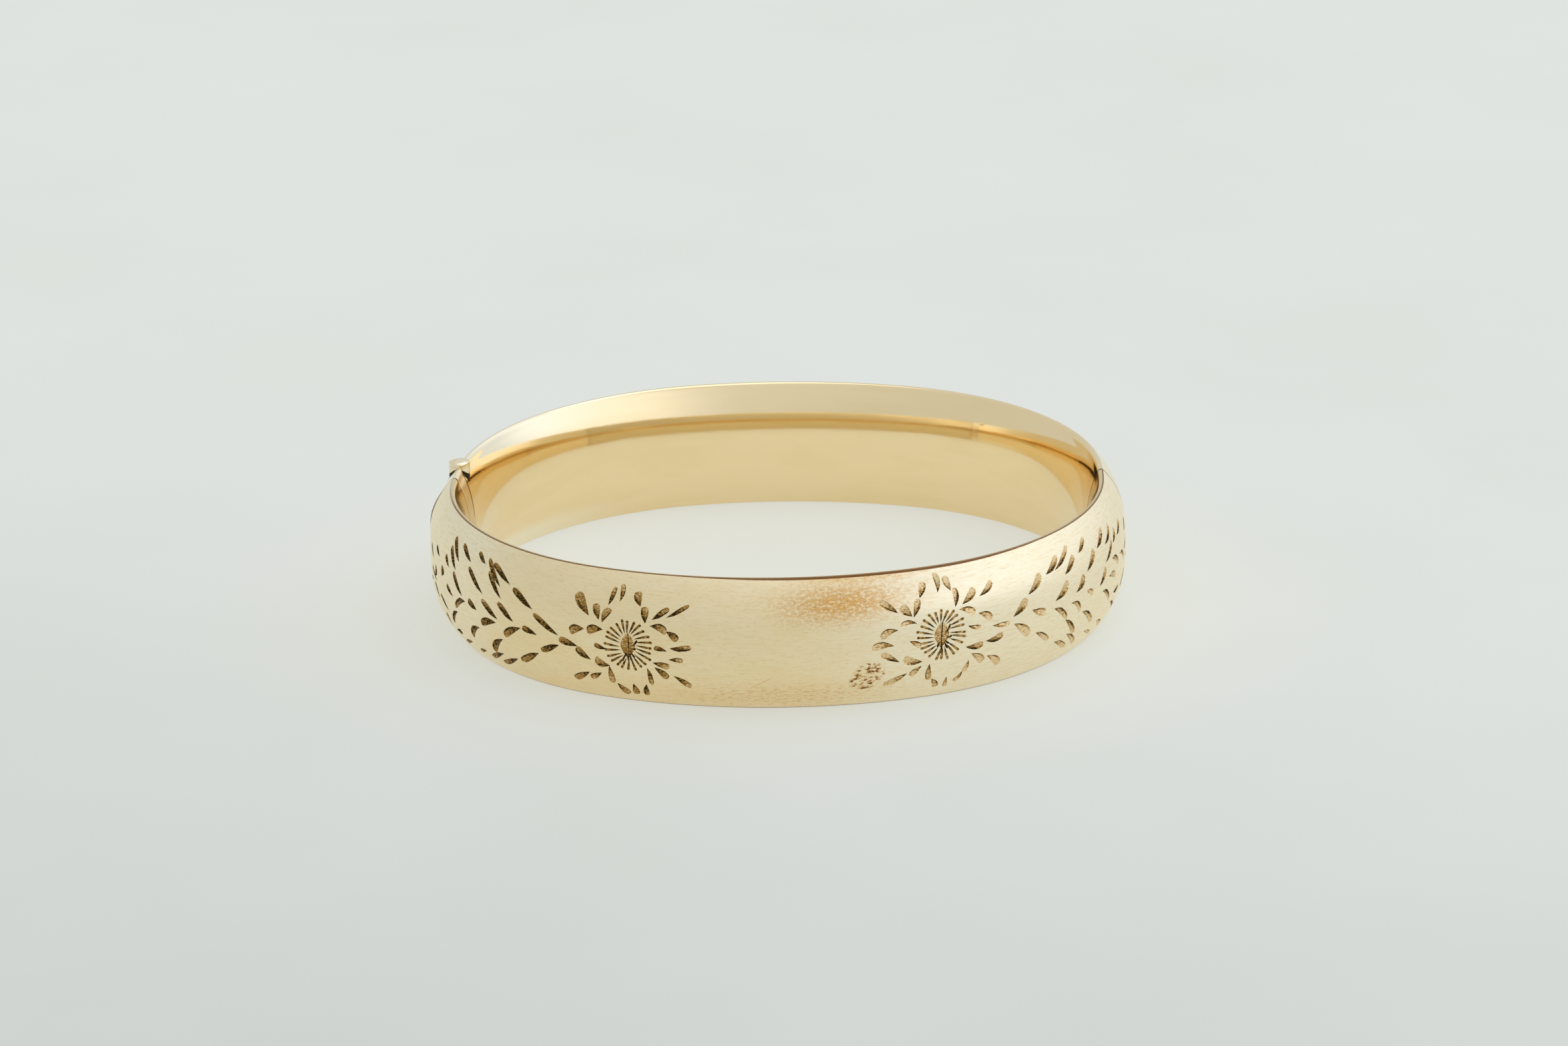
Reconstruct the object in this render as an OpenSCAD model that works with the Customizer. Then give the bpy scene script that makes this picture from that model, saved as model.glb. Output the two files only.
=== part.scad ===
// Hinged bangle bracelet: two hollow half bands, a knuckle hinge at -X and a box clasp at +X.
// +Z is up, the clasp is to the right and the front half lies towards -Y.

/* [Oval] */
// Width between the rim joint lines, from hinge to clasp
oval_w = 62.1; // [60:0.1:65]
// How much shallower the front half is than half the width, in quarters
front_step = 1.11; // [1:0.01:1.2]
// How far the back half's corners are flattened at the sides
side_step = 0.155; // [0.14:0.005:0.16]
// How far the back half's corners are flattened at the back
back_step = 0.28; // [0.26:0.01:0.3]

/* [Band] */
// Height of the band
band_h = 12.7; // [12:0.1:14]
// How far the outer dome bulges beyond the rim joint line
bulge = 2.15; // [2.05:0.05:2.4]
// How far the inner wall bellies inside the rim joint line
belly = 1.6; // [1.55:0.05:1.8]
// Height of the straight part of the inner wall
belly_flat = 6.4; // [6.2:0.1:7]
// Width of the flat lip along each rim
lip_w = 0.45; // [0.35:0.05:0.55]
// Depth of the turned edge behind the lip
lip_h = 0.5; // [0.4:0.05:0.7]
// Thickness of the gold-filled sheet
sheet = 0.4; // [0.3:0.02:0.42]

/* [Ends] */
// Distance from the widest line back to the front half's end faces
seam_back = 3.1; // [2.9:0.1:3.3]
// Length of the front half's hinge cap
cap_l = 2.7; // [2.2:0.1:3]
// Gap between the two halves' end faces
seam_gap = 0.1; // [0.06:0.02:0.14]
// Thickness of the end plates
plate_t = 0.5; // [0.4:0.05:0.6]

/* [Hinge] */
// Outer radius of the hinge knuckles
knuckle_r = 1.0; // [0.9:0.02:1.02]
// Radius of the hinge pin
pin_r = 0.45; // [0.35:0.01:0.5]
// Running clearance of the pin in the middle knuckle
pin_fit = 0.05; // [0.02:0.01:0.08]
// Length of the middle knuckle
middle_l = 5; // [4:0.1:6]
// Gap between one knuckle and the next
knuckle_gap = 0.06; // [0.04:0.01:0.1]
// Height of the pin's domed head
head_h = 0.35; // [0.25:0.05:0.5]
// Angle to which the front half opens
open_max = 36; // [20:1:40]

/* [Clasp] */
// Length of the tongue inside the clasp box
tongue_l = 8.6; // [7:0.1:9]
// Height of the tongue
tongue_h = 5.2; // [4:0.1:5.4]
// Thickness of the tongue and of its spring leaf
leaf_t = 0.24; // [0.2:0.01:0.26]
// How far the spring leaf springs away from the tongue at its free end
leaf_rise = 0.55; // [0.5:0.01:0.58]
// Wall of the clasp box
box_wall = 0.15; // [0.1:0.01:0.15]

/* [Hidden] */
$fn = 96;

half_w = oval_w / 2;
mid_z = band_h / 2;
// Larger than the whole bangle, for cutting planes
far = 80;
// How far a cutting shape runs past what it cuts
over = 1;

// The oval is a chain of arcs. Neighbouring centres are set out on whole-number triangles, so
// that the arcs meet exactly: each triangle is [across, along, length of the sloping side].
front_tri = [5, -12, 13];
side_tri = [112, 15, 113];
back_tri = [16, 63, 65];
function slope(tri) = [tri.x, tri.y];

// Front half: two end arcs and a middle arc, from the widest line forwards
front_end_c = [front_tri.x * front_step, 0];
front_end_r = half_w - front_end_c.x;
front_r = front_end_r + front_tri.z * front_step;
front_c = [0, -front_tri.y * front_step];
front_depth = front_r - front_c.y;

// Back half: side, corner and middle arcs, from the widest line backwards
corner_c = [back_tri.x * back_step, side_tri.y * side_step];
side_c = [corner_c.x - side_tri.x * side_step, 0];
side_r = half_w - side_c.x;
corner_r = side_r - side_tri.z * side_step;
back_r = corner_r + back_tri.z * back_step;
back_c = [0, corner_c.y - back_tri.y * back_step];
back_depth = back_r + back_c.y;

// The widest line, set so that the whole oval is centred on the origin
waist_y = (front_depth - back_depth) / 2;

// Section: dome of the outer sheet, and shoulders of the inner sheet
dome_r = (pow(mid_z, 2) + pow(bulge, 2)) / (2 * bulge);
shoulder_in = belly - lip_w;
shoulder_up = (band_h - belly_flat) / 2;
shoulder_r = (pow(shoulder_in, 2) + pow(shoulder_up, 2)) / (2 * shoulder_in);
// Gap left where the edges of two soldered sheets meet
solder = 0.01;

// End faces and hinge axis
front_end_y = waist_y + seam_back;
back_end_y = front_end_y + seam_gap;
cap_y = front_end_y - cap_l;
hinge_y = front_end_y + knuckle_r + seam_gap;
hinge_x = -rim_x(hinge_y);
// Clearance round the middle knuckle, and beyond the open front half
swing_gap = 0.12;
middle_z = mid_z - middle_l / 2;
upper_z = middle_z + middle_l + knuckle_gap;
pin_z = 0.1;
pin_foot_r = knuckle_r - 0.1;
// Width of the web that joins the middle knuckle to the hinge cap
web_w = 1.1 * knuckle_r;
// Where the solid plug in the back half begins beyond the hinge axis, and its length
plug_front = 0.1;
plug_l = 1.7;

// Clasp frame: the mouth's middle, turned so that the tongue follows its swing about the hinge
clasp_out = 0.36;
clasp_x = rim_x(front_end_y) + clasp_out;
clasp_a = asin((tongue_l / 2 + hinge_y - front_end_y) / (clasp_x - hinge_x));
// Room in the clasp box on the inner and outer side, and its gap behind the end plate
box_in = 0.8;
box_out = 0.7;
box_gap = 0.12;
box_h = tongue_h + 0.7;
box_l = tongue_l + 0.6;
// Where the tongue's fixed leaf and the root of its spring leaf lie across the mouth
tongue_in = 0.22;
leaf_root_x = 0.02;
leaf_root_gap = 0.05;
// How far the spring leaf's free end stays behind the mouth
leaf_end = 0.8;
leaf_a = atan(leaf_rise / (tongue_l - leaf_end));
// Foot of the tongue: its reach inwards, and its gap behind the end plate
foot_in = 0.6;
foot_gap = 0.15;
// Mouth in the front end plate
mouth_in = 0.36;
mouth_out = 0.62;
mouth_h = tongue_h + 0.3;

// Half width of the rim joint line at y, behind the widest line
function rim_x(y) = side_c.x + sqrt(pow(side_r, 2) - pow(y - waist_y, 2));

// ---- Sections: X is the offset outwards from the rim joint line, Y is the height ----

module dome_2d(inset = 0) {
    translate([bulge - dome_r, mid_z]) circle(r = dome_r - inset);
}

module belly_2d(inset = 0) {
    translate([inset - belly, (band_h - belly_flat) / 2])
        square([belly - inset, belly_flat]);
    for (z = [mid_z - belly_flat / 2, mid_z + belly_flat / 2])
        intersection() {
            translate([shoulder_r - belly, z]) circle(r = shoulder_r - inset);
            translate([-belly, z > mid_z ? z : 0]) square([belly, shoulder_up]);
        }
}

module outer_sheet_2d() {
    intersection() {
        difference() {
            dome_2d();
            dome_2d(sheet);
        }
        translate([solder, 0]) square([bulge + over, band_h]);
    }
}

module liner_2d() {
    difference() {
        belly_2d();
        difference() {
            belly_2d(sheet);
            for (z = [0, band_h - lip_h])
                translate([-lip_w, z]) square([lip_w + over, lip_h]);
        }
    }
    for (z = [0, band_h - lip_h])
        translate([-lip_w, z]) square([lip_w, lip_h]);
}

module whole_2d() {
    belly_2d();
    intersection() {
        dome_2d();
        square([bulge + over, band_h]);
    }
}

module cavity_2d() {
    difference() {
        union() {
            belly_2d(sheet + solder);
            intersection() {
                dome_2d(sheet + solder);
                square([bulge, band_h]);
            }
        }
        for (z = [-over, band_h - lip_h - solder])
            translate([-far / 2, z]) square([far, lip_h + over + solder]);
    }
}

// ---- Sweeps along the oval ----

// One arc of the oval round the centre c, between the directions d0 and d1
module arc_sweep(c, r, d0, d1) {
    translate([0, waist_y, 0])
        intersection() {
            translate([c.x, c.y, 0]) rotate_extrude() translate([r, 0]) children();
            translate([0, 0, -over])
                linear_extrude(band_h + 2 * over)
                    polygon([c, c + d0 * ceil(far / norm(d0)), c + d1 * ceil(far / norm(d1))]);
        }
}

// The side arc at the clasp, or its mirror image at the hinge
module side_sweep(hinge = false) {
    mirror([hinge ? 1 : 0, 0, 0])
        arc_sweep(side_c, side_r, [1, 0], slope(side_tri)) children();
}

module front_sweep() {
    arc_sweep(front_c, front_r, [-front_tri.x, front_tri.y], slope(front_tri)) children();
    for (m = [0, 1])
        mirror([m, 0, 0])
            arc_sweep(front_end_c, front_end_r, slope(front_tri), [1, 0]) children();
    for (hinge = [false, true]) side_sweep(hinge) children();
}

module back_sweep() {
    arc_sweep(back_c, back_r, slope(back_tri), [-back_tri.x, back_tri.y]) children();
    for (m = [0, 1])
        mirror([m, 0, 0])
            arc_sweep(corner_c, corner_r, slope(side_tri), slope(back_tri)) children();
    for (hinge = [false, true]) side_sweep(hinge) children();
}

// Slab between two planes square to Y, on one side of the middle
module slab(y0, y1, hinge = false) {
    translate([hinge ? -far : 0, y0, -over]) cube([far, y1 - y0, band_h + 2 * over]);
}

// The front half's sweep, cut off at the clasp seam and at the hinge cap
module front_trim() {
    intersection() {
        children();
        union() {
            slab(-far, front_end_y);
            slab(-far, cap_y, true);
        }
    }
}

// The back half's sweep, cut off at both seams and cleared for the hinge
module back_trim() {
    difference() {
        children();
        translate([-far, -far, -over]) cube([2 * far, far + back_end_y, band_h + 2 * over]);
        swing_relief();
        hinge_place() cylinder(r = knuckle_r + swing_gap / 2, h = band_h + 2 * over);
    }
}

module hinge_place() {
    translate([hinge_x, hinge_y, 0]) children();
}

// Room outside the hinge for the front half's end face as it opens
module swing_relief() {
    reach = 2 * bulge;
    face = hinge_y - front_end_y - swing_gap;
    hinge_place()
        for (a = [0, open_max])
            rotate([0, 0, -a])
                translate([-reach, -face - reach, -over])
                    cube([reach + knuckle_r / 2, reach, band_h + 2 * over]);
}

module clasp_place() {
    translate([clasp_x, front_end_y, mid_z]) rotate([0, 0, -clasp_a]) children();
}

// ---- Front half ----

module front_outer_shell() {
    color("#e8dfc4") front_trim() front_sweep() outer_sheet_2d();
}

module front_liner() {
    color("#d8c48e") front_trim() front_sweep() liner_2d();
}

// Short end piece of the same section, closed by the hinge end face
module front_hinge_cap() {
    color("#e4dabb") {
        intersection() {
            side_sweep(true) {
                outer_sheet_2d();
                liner_2d();
            }
            slab(cap_y, front_end_y, true);
        }
        intersection() {
            side_sweep(true) whole_2d();
            slab(front_end_y - plate_t, front_end_y, true);
        }
    }
}

module knuckle(z, h, bore) {
    hinge_place()
        translate([0, 0, z])
            difference() {
                cylinder(r = knuckle_r, h = h);
                translate([0, 0, -over]) cylinder(r = bore, h = h + 2 * over);
            }
}

module middle_knuckle() {
    color("#d9c58d") {
        knuckle(middle_z, middle_l, pin_r + pin_fit);
        hinge_place()
            translate([-web_w / 2, 0, middle_z])
                difference() {
                    translate([0, front_end_y - hinge_y, 0])
                        cube([web_w, hinge_y - front_end_y, middle_l]);
                    translate([web_w / 2, 0, -over])
                        cylinder(r = (knuckle_r + pin_r) / 2, h = middle_l + 2 * over);
                }
    }
}

module front_clasp_plate() {
    color("#d9c58d")
        difference() {
            intersection() {
                side_sweep() cavity_2d();
                slab(front_end_y - plate_t, front_end_y);
            }
            clasp_place()
                translate([-mouth_in, -2 * over, -mouth_h / 2])
                    cube([mouth_in + mouth_out, 4 * over, mouth_h]);
        }
}

// Sheet box behind the mouth, open towards the seam
module clasp_box() {
    start = plate_t + box_gap;
    color("#c9b27a")
        clasp_place()
            difference() {
                translate([-box_in - box_wall, -start - box_l, -box_h / 2])
                    cube([box_in + box_out + 2 * box_wall, box_l, box_h]);
                translate([-box_in, box_wall - start - box_l, box_wall - box_h / 2])
                    cube([box_in + box_out, box_l, box_h - 2 * box_wall]);
            }
}

// ---- Back half ----

module back_outer_shell() {
    color("#eee6cf") back_trim() back_sweep() outer_sheet_2d();
}

module back_liner() {
    color("#d8c48e") back_trim() back_sweep() liner_2d();
}

// Solid end of the back half, hollowed for the knuckles
module back_hinge_plug() {
    start = hinge_y + plug_front;
    color("#c9b27a")
        difference() {
            intersection() {
                side_sweep(true) cavity_2d();
                slab(start, start + plug_l, true);
            }
            swing_relief();
            hinge_place()
                translate([0, 0, -over])
                    cylinder(r = knuckle_r, h = band_h + 2 * over);
            hinge_place()
                translate([0, 0, middle_z - knuckle_gap])
                    cylinder(r = knuckle_r + swing_gap, h = middle_l + 2 * knuckle_gap);
        }
}

module upper_knuckle() {
    color("#e0d1a0") knuckle(upper_z, band_h - upper_z, pin_r + solder);
}

module lower_knuckle() {
    foot = pin_z + head_h;
    color("#e0d1a0") knuckle(foot, middle_z - knuckle_gap - foot, pin_r + solder);
}

// Pin with a domed head on top and a flat riveted foot
module hinge_pin() {
    dome = (pow(knuckle_r, 2) + pow(head_h, 2)) / (2 * head_h);
    color("#efe4c4")
        hinge_place() {
            translate([0, 0, pin_z]) cylinder(r = pin_r, h = band_h + solder - pin_z);
            translate([0, 0, pin_z]) cylinder(r = pin_foot_r, h = head_h - solder);
            intersection() {
                translate([0, 0, band_h + head_h - dome]) sphere(r = dome);
                translate([0, 0, band_h + solder]) cylinder(r = knuckle_r, h = over);
            }
        }
}

module back_clasp_plate() {
    color("#d9c58d")
        difference() {
            intersection() {
                side_sweep() cavity_2d();
                slab(back_end_y, back_end_y + plate_t);
            }
            clasp_place()
                translate([tongue_in - solder, -2 * over, -tongue_h / 2 - solder])
                    cube([leaf_t + 2 * solder, 4 * over, tongue_h + 2 * solder]);
        }
}

// Fixed leaf: its foot lies behind the end plate, and its tip folds over towards the spring leaf
module tongue() {
    back = seam_gap + plate_t + foot_gap;
    fold_r = (tongue_in + leaf_t - leaf_root_x + leaf_t / 2) / 2;
    color("#cdb67c")
        clasp_place()
            translate([0, 0, -tongue_h / 2]) {
                translate([tongue_in, -tongue_l, 0]) cube([leaf_t, tongue_l + back, tongue_h]);
                translate([tongue_in - foot_in, back, 0])
                    cube([leaf_t + foot_in, leaf_t, tongue_h]);
                translate([tongue_in + leaf_t - fold_r, -tongue_l, 0])
                    difference() {
                        cylinder(r = fold_r, h = tongue_h);
                        translate([0, 0, -over])
                            cylinder(r = fold_r - leaf_t, h = tongue_h + 2 * over);
                        translate([-over, 0, -over])
                            cube([2 * over, 2 * over, tongue_h + 2 * over]);
                    }
            }
}

// Spring leaf: hinged in effect at the fold, its free end catches behind the mouth
module spring_leaf() {
    color("#cdb67c")
        clasp_place()
            translate([leaf_root_x, -tongue_l, -tongue_h / 2])
                rotate([0, 0, leaf_a])
                    translate([-leaf_t / 2, leaf_root_gap, 0])
                        cube([leaf_t, tongue_l - leaf_end - leaf_root_gap, tongue_h]);
}

front_outer_shell();
front_liner();
front_hinge_cap();
middle_knuckle();
front_clasp_plate();
clasp_box();
back_outer_shell();
back_liner();
back_hinge_plug();
upper_knuckle();
lower_knuckle();
hinge_pin();
back_clasp_plate();
tongue();
spring_leaf();
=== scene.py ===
"""Looks of the hinged bangle: swept gold sheets, an engraved front and a plain studio."""

import math
import random

import bmesh
import bpy
import numpy as np
from mathutils import Matrix, Vector
from mathutils.geometry import delaunay_2d_cdt


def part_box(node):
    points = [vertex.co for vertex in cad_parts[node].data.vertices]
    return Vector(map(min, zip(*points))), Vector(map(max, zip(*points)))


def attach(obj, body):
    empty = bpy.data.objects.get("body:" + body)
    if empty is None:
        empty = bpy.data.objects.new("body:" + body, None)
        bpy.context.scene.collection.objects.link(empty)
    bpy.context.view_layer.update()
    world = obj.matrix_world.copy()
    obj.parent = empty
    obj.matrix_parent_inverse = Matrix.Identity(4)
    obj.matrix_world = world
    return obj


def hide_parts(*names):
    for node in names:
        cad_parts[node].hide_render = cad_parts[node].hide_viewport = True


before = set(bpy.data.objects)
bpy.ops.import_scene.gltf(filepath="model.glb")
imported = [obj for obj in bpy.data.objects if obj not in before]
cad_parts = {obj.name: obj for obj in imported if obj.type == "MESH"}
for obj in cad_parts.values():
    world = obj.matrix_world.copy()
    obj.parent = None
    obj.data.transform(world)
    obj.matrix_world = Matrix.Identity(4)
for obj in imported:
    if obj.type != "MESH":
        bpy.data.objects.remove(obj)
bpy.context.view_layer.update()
MM = 0.001

# ---- The oval and the band's section, in millimetres ----

BAND_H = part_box("front_outer_shell")[1].z / MM
MID = BAND_H / 2
OVAL_W = 62.1            # between the rim joint lines, from hinge to clasp
# From one arc to the next, the centre and the radius step on by a right triangle with whole
# sides, times a step, so that the arcs meet without a corner.
FRONT_STEP, SIDE_STEP, BACK_STEP = 1.11, 0.155, 0.28
FRONT_TRI, SIDE_TRI, BACK_TRI = (5, 12, 13), (112, 15, 113), (16, 63, 65)
SEAM_BACK = 3.1          # from the widest line to the front half's end faces
SEAM_GAP = 0.1           # between the two halves' end faces
CAP_L = 2.7              # length of the hinge cap along the rim
CAP_JOINT = 0.02         # half the joint between the cap and the sheets
KNUCKLE_R = 1.0
OPEN_MAX = math.radians(36)
SWING_GAP = 0.12         # kept clear between the halves as the front one swings
PIN_FOOT, PIN_COLLAR, PIN_DOME = 0.1, 0.33, 0.22  # foot's underside, head's collar, dome
PIN_RING, PIN_RING_DEEP = 0.78, 0.05              # ring cut into the head
EASE = 3.0               # length over which an end's cut is taken up
LEAN_MIN = 0.5           # least sideways part of a direction by which an end is squared
SHEET = 0.4
SKIN_OFF = 0.005         # how far a sheet's hidden faces stay off the joint line
LIP_START = 0.04         # where the liner's rounded lip is highest, inside the joint line
LIP_DROP = 0.6           # height over which the lip turns into the belly
LIP_ROUND = 3.2          # how late the lip rolls over
CAP_LIP_ROUND = 5.0      # the same on the solid hinge cap, which is flatter on top
# The outer sheet is sprung out at the cap's seam: how far, round which height, and over what.
FLARE, FLARE_Z, FLARE_H, FLARE_L = 0.3, 8.8, 3.8, 3.6
DOME = 2.12              # bulge of the outer sheet beyond the rim joint line
DOME_POWER = 2.81
BELLY = 1.6              # belly of the liner inside the joint line
BELLY_POWER = 2.0
BELLY_ROOT = 1.684
CREST_DROP = 0.05        # how far the two sheets' edges roll down at their joint
CREST_ROLL = 0.14        # width of that roll
CROWDING = 0.6           # how much closer together heights are near the band's edges

HALF_W = OVAL_W / 2
FRONT_END_C = FRONT_TRI[0] * FRONT_STEP
FRONT_END_R = HALF_W - FRONT_END_C
FRONT_R = FRONT_END_R + FRONT_TRI[2] * FRONT_STEP
FRONT_C = FRONT_TRI[1] * FRONT_STEP
CORNER_X, CORNER_Y = BACK_TRI[0] * BACK_STEP, SIDE_TRI[1] * SIDE_STEP
SIDE_X = CORNER_X - SIDE_TRI[0] * SIDE_STEP
SIDE_R = HALF_W - SIDE_X
CORNER_R = SIDE_R - SIDE_TRI[2] * SIDE_STEP
BACK_R = CORNER_R + BACK_TRI[2] * BACK_STEP
BACK_C = CORNER_Y - BACK_TRI[1] * BACK_STEP
WAIST_Y = ((FRONT_R - FRONT_C) - (BACK_R + BACK_C)) / 2
FRONT_END_Y = WAIST_Y + SEAM_BACK
BACK_END_Y = FRONT_END_Y + SEAM_GAP
HINGE_X = (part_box("upper_knuckle")[0].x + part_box("upper_knuckle")[1].x) / 2 / MM


class Rim:
    """The rim joint line of one half: a chain of arcs, with s = 0 at its middle."""

    def __init__(self, arcs):
        self.arcs = [(x, y + WAIST_Y, r, math.radians(a), math.radians(b)) for x, y, r, a, b in arcs]
        self.starts = np.cumsum([0] + [r * (b - a) for _, _, r, a, b in self.arcs])
        self.half = self.starts[-1] / 2

    def at(self, s):
        """Points on the line and outward directions, as arrays."""
        u = np.asarray(s, float) + self.half
        last = len(self.arcs) - 1
        i = np.clip(np.searchsorted(self.starts, u, side="right") - 1, 0, last)
        cx, cy, r, a, _ = np.array(self.arcs)[i].T
        turn = a + (u - self.starts[i]) / r
        out = np.stack([np.cos(turn), np.sin(turn)], -1)
        return np.stack([cx, cy], -1) + out * r[..., None], out


def angle(x, y):
    """Direction from the origin, in degrees."""
    return math.degrees(math.atan2(y, x))


def end_angle(y):
    """Where a side arc reaches y, in degrees."""
    return math.degrees(math.asin((y - WAIST_Y) / SIDE_R))


BEND_F = angle(FRONT_TRI[0], FRONT_TRI[1])
BEND_S = angle(SIDE_TRI[0], SIDE_TRI[1])
BEND_B = angle(BACK_TRI[0], BACK_TRI[1])
FRONT = Rim([
    (-SIDE_X, 0, SIDE_R, 180 - end_angle(FRONT_END_Y), 180),
    (-FRONT_END_C, 0, FRONT_END_R, 180, 180 + BEND_F),
    (0, FRONT_C, FRONT_R, 180 + BEND_F, 360 - BEND_F),
    (FRONT_END_C, 0, FRONT_END_R, 360 - BEND_F, 360),
    (SIDE_X, 0, SIDE_R, 360, 360 + end_angle(FRONT_END_Y)),
])
BACK = Rim([
    (SIDE_X, 0, SIDE_R, end_angle(BACK_END_Y), BEND_S),
    (CORNER_X, CORNER_Y, CORNER_R, BEND_S, BEND_B),
    (0, BACK_C, BACK_R, BEND_B, 180 - BEND_B),
    (-CORNER_X, CORNER_Y, CORNER_R, 180 - BEND_B, 180 - BEND_S),
    (-SIDE_X, 0, SIDE_R, 180 - BEND_S, 180 - end_angle(BACK_END_Y)),
])
CAP_S = -FRONT.half + CAP_L


def dome(z):
    """Offset of the outer sheet's surface from the joint line."""
    return DOME * (1 - np.abs(np.asarray(z) / MID - 1) ** DOME_POWER)


def belly(z):
    """Offset of the liner's surface, negative because it is inside the joint line."""
    up = np.clip(1 - np.abs(np.asarray(z) / MID - 1) ** BELLY_POWER, 0, 1)
    return -BELLY * up ** (1 / BELLY_ROOT)


def crest_roll(z):
    """Height after the sheet's edges roll down towards the joint."""
    z = np.asarray(z, float)
    q = np.clip((np.abs(z - MID) - (MID - CREST_ROLL)) / CREST_ROLL, 0, 1)
    return z - np.sign(z - MID) * CREST_DROP * q * q


def square_end(out, offset):
    """How far a point moves along the rim so that the end face is square to Y."""
    across = out[..., 0]
    across = np.where(across < 0, np.minimum(across, -LEAN_MIN), np.maximum(across, LEAN_MIN))
    return -offset * out[..., 1] / across


def hinge_relief(offset):
    """How far the back half's end is cut back on the outside, to let the front half swing."""
    face = KNUCKLE_R + SEAM_GAP - SWING_GAP
    cut = (np.sin(OPEN_MAX) * offset - face) / np.cos(OPEN_MAX)
    return np.maximum(0, cut + KNUCKLE_R)



def place(rim, s, offset, z, relief=False):
    """Points in millimetres from the arc length, the offset outwards and the height."""
    s, offset, z = np.broadcast_arrays(*[np.asarray(v, float) for v in (s, offset, z)])
    point, out = rim.at(s)
    along = np.stack([-out[..., 1], out[..., 0]], -1)
    shift = np.zeros_like(s)
    for side in (-1, 1):
        near = np.clip((side * s - rim.half + EASE) / EASE, 0, 1)
        shift = shift + near * near * square_end(out, offset)
    if relief:
        near = np.clip((s - rim.half + EASE) / EASE, 0, 1)
        shift = shift - near * near * hinge_relief(offset)
    xy = point + out * offset[..., None] + along * shift[..., None]
    return np.concatenate([xy, z[..., None]], -1)


# ---- Mesh helpers ----

def new_object(name, points, faces, material, body, sharp=35):
    """A smooth-shaded object from points in millimetres."""
    mesh = bpy.data.meshes.new(name)
    mesh.from_pydata([tuple(p) for p in np.asarray(points) * MM], [], [list(f) for f in faces])
    mesh.validate()
    mesh.shade_smooth()
    if sharp:
        mesh.set_sharp_from_angle(angle=math.radians(sharp))
    mesh.materials.append(material)
    obj = bpy.data.objects.new(name, mesh)
    bpy.context.scene.collection.objects.link(obj)
    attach(obj, body)
    return obj


def band_attribute(mesh, values):
    """Stores each point's (s, z, offset) in millimetres for the materials."""
    attribute = mesh.attributes.new("band", "FLOAT_VECTOR", "POINT")
    attribute.data.foreach_set("vector", np.asarray(values, np.float32).ravel())


def sweep(name, rim, outline, s0, s1, material, body, step=0.5, relief=False, bevel=0.0):
    """A closed solid: an outline of (offset, z) swept along a rim, with flat ends."""
    outline = np.array(outline, float)
    count = max(2, int(round((s1 - s0) / step)) + 1)
    stations = list(np.linspace(s0, s1, count))
    middle = outline.mean(0)
    insets = [0.0] * count
    if bevel:
        stations = [s0] + [s0 + bevel] + stations[1:-1] + [s1 - bevel] + [s1]
        insets = [bevel] + [0.0] * (len(stations) - 2) + [bevel]
    rows, band = [], []
    for s, inset in zip(stations, insets):
        inward = middle - outline
        inward /= np.linalg.norm(inward, axis=1, keepdims=True)
        ring = outline + inward * inset
        rows.append(place(rim, s, ring[:, 0], ring[:, 1], relief))
        band.append(np.stack([np.full(len(ring), s), ring[:, 1], ring[:, 0]], -1))
    n = len(outline)
    faces = []
    for i in range(len(stations) - 1):
        for j in range(n):
            k = (j + 1) % n
            faces.append((i * n + j, (i + 1) * n + j, (i + 1) * n + k, i * n + k))
    faces.append(tuple(range(n)))
    faces.append(tuple(reversed(range((len(stations) - 1) * n, len(stations) * n))))
    obj = new_object(name, np.concatenate(rows), faces, material, body)
    band_attribute(obj.data, np.concatenate(band))
    fix_normals(obj.data)
    return obj


def fix_normals(mesh):
    """Turns every face outwards."""
    bm = bmesh.new()
    bm.from_mesh(mesh)
    bmesh.ops.recalc_face_normals(bm, faces=bm.faces)
    bm.to_mesh(mesh)
    bm.free()


def heights(count):
    """Heights up the band, closer together towards its edges."""
    turn = np.linspace(-math.pi / 2, math.pi / 2, count)
    even = np.linspace(-1, 1, count)
    return MID + MID * (CROWDING * np.sin(turn) + (1 - CROWDING) * even)


def outer_outline(count=44):
    """Outer sheet: the dome outside, and the same dome a sheet's thickness inside."""
    z = heights(count)
    outside = np.stack([dome(z), crest_roll(z)], -1)
    back_z = np.linspace(BAND_H - SHEET, SHEET, count // 2)
    inside = np.stack([np.maximum(dome(back_z) - SHEET, SKIN_OFF), back_z], -1)
    return np.concatenate([outside, inside])


def liner_outline(count=44, roundness=LIP_ROUND):
    """Liner: a rounded lip along each rim, rolled down to the joint, and the belly."""
    turn = np.linspace(0, 1, 9)
    lip_w = -float(belly(BAND_H - LIP_DROP)) - LIP_START
    lip = [(-LIP_START - lip_w * t, BAND_H - LIP_DROP * t ** roundness) for t in turn]
    top = [(-SKIN_OFF, BAND_H - CREST_DROP), (-LIP_START / 2, BAND_H - CREST_DROP / 4)] + lip
    bottom = [(x, BAND_H - y) for x, y in top]
    z = np.linspace(BAND_H - LIP_DROP, LIP_DROP, count)[1:-1]
    inside = list(zip(belly(z), z))
    back_z = np.linspace(SHEET * 1.4, BAND_H - SHEET * 1.4, count // 2)
    back = [(min(float(belly(v)) + SHEET, -SKIN_OFF * 2), v) for v in back_z]
    low, high = (-SKIN_OFF, SHEET * 0.75), (-SKIN_OFF, BAND_H - SHEET * 0.75)
    return top + inside + bottom[::-1] + [low] + back + [high]


def solid_outline(count=44):
    """The whole section: the dome outside and the liner's face inside."""
    z = heights(count)
    outer = list(zip(dome(z), crest_roll(z)))
    liner = liner_outline(count, CAP_LIP_ROUND)
    inner = liner[: len(liner) - count // 2 - 2]
    return outer + inner[1:-1]


# ---- Engraving: cuts are laid out on the band in millimetres along it and up it ----

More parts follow.
